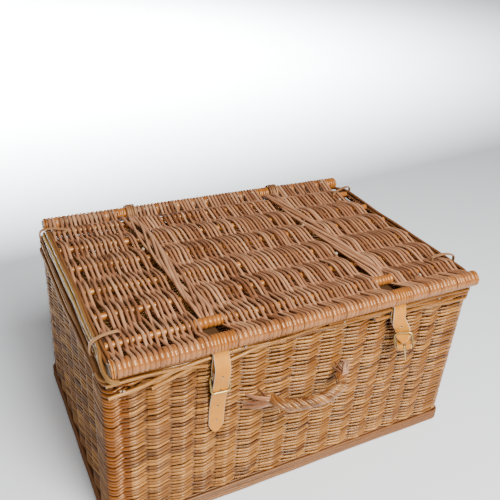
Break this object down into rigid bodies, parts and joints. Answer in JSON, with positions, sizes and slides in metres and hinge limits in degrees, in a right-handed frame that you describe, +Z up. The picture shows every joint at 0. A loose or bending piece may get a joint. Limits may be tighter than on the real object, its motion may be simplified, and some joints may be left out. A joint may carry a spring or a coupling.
{
  "type": "wicker picnic basket",
  "caption": "Rectangular willow hamper with a hinged woven lid, two buckled leather straps and a roped willow carrying handle on the front.",
  "frame": {"origin": "on the ground, under the middle of the woven body's footprint", "axes": "+Z up, +X along the front wall to the right as seen from the front, -Y out of the front wall that carries the handle and buckles"},
  "size_m": [0.521, 0.3949, 0.2734],
  "materials": {
    "body_willow": "matt peeled willow",
    "lid_willow": "satin buff willow",
    "stick_wrap": "glossy varnished willow skein",
    "tie_willow": "weathered willow",
    "handle_willow": "matt roped willow",
    "leather": "natural tan, satin",
    "brass": "polished"
  },
  "bodies": {
    "basket": {"base_panel": "body_willow", "foot_front": "body_willow", "foot_back": "body_willow", "foot_left": "body_willow", "foot_right": "body_willow", "wall_front": "body_willow", "wall_back": "body_willow", "wall_left": "body_willow", "wall_right": "body_willow", "corner_post_front_left": "body_willow", "corner_post_front_right": "body_willow", "corner_post_back_left": "body_willow", "corner_post_back_right": "body_willow", "border_front": "body_willow", "border_back": "body_willow", "border_left": "body_willow", "border_right": "body_willow", "hinge_loop_left": "tie_willow", "hinge_loop_right": "tie_willow", "chape_left": "leather", "chape_right": "leather", "chape_rivet_left": "brass", "chape_rivet_right": "brass", "handle_root_left": "tie_willow", "handle_root_right": "tie_willow"},
    "lid": {"lid_stick_front": "stick_wrap", "lid_stick_back": "stick_wrap", "lid_stick_2": "lid_willow", "lid_stick_3": "lid_willow", "lid_stick_4": "lid_willow", "lid_stick_5": "lid_willow", "lid_stick_6": "lid_willow", "lid_stick_7": "lid_willow", "lid_weave_left": "lid_willow", "lid_weave_centre": "lid_willow", "lid_weave_right": "lid_willow", "lid_band_left": "lid_willow", "lid_band_right": "lid_willow", "lid_edge_left": "lid_willow", "lid_edge_right": "lid_willow", "lid_tie_front_left": "lid_willow", "lid_tie_front_right": "lid_willow", "lid_tie_back_left": "lid_willow", "lid_tie_back_right": "lid_willow", "strap_left": "leather", "strap_right": "leather", "strap_rivet_left": "brass", "strap_rivet_right": "brass"},
    "handle": {"handle": "handle_willow"},
    "buckle_left": {"buckle_left": "brass"},
    "buckle_right": {"buckle_right": "brass"},
    "prong_left": {"prong_left": "brass"},
    "prong_right": {"prong_right": "brass"}
  },
  "joints": [
    {"name": "lid_hinge", "type": "hinge", "parent": "basket", "child": "lid", "pos_m": [0, 0.1705, 0.259], "axis": [-1, 0, 0], "range_deg": [0, 110], "deforming": ["strap_left", "strap_right"]},
    {"name": "handle_swing", "type": "hinge", "parent": "basket", "child": "handle", "pos_m": [-0.008, -0.176, 0.16], "axis": [-1, 0, 0], "range_deg": [-60, 45]},
    {"name": "buckle_left_swing", "type": "hinge", "parent": "basket", "child": "buckle_left", "pos_m": [-0.12572, -0.17081, 0.211], "axis": [-0.9962, 0.0872, 0], "range_deg": [0, 75]},
    {"name": "buckle_right_swing", "type": "hinge", "parent": "basket", "child": "buckle_right", "pos_m": [0.13159, -0.18734, 0.18867], "axis": [0.8152, -0.5299, 0.2338], "range_deg": [0, 75]},
    {"name": "prong_left_swing", "type": "hinge", "parent": "basket", "child": "prong_left", "pos_m": [-0.12572, -0.17081, 0.211], "axis": [-0.9962, 0.0872, 0], "range_deg": [-11, 3.5]},
    {"name": "prong_right_swing", "type": "hinge", "parent": "basket", "child": "prong_right", "pos_m": [0.13159, -0.18734, 0.18867], "axis": [-0.8152, 0.5299, -0.2338], "range_deg": [0, 160]}
  ]
}
